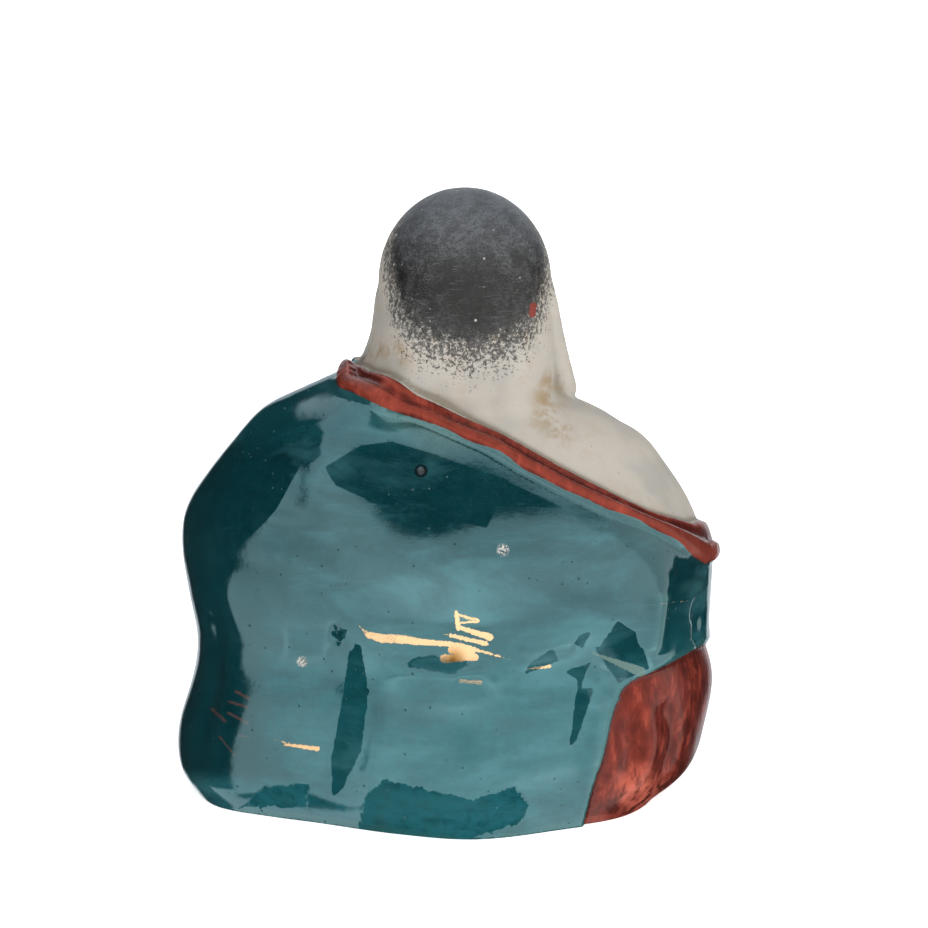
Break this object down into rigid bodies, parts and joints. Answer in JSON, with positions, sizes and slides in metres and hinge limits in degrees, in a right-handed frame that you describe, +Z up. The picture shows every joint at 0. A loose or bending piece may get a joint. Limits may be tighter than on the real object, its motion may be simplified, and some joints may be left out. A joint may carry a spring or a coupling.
{
  "type": "hotei figure",
  "caption": "Small seated hotei in glazed ceramic: plump bald monk, robe draped off the right shoulder with a collar band, bare belly, trousers, hands on the knees, flat underside.",
  "frame": {"origin": "on the flat underside, below the base of the neck", "axes": "+Z up, the figure faces -Y, its left hand is towards +X"},
  "size_m": [0.0619, 0.0482, 0.07],
  "materials": {
    "glazed_ceramic": "gloss glaze in teal and iron red, matt bisque skin, fired gold strokes"
  },
  "bodies": {
    "root": {"hotei_figure": "glazed_ceramic"}
  },
  "joints": []
}
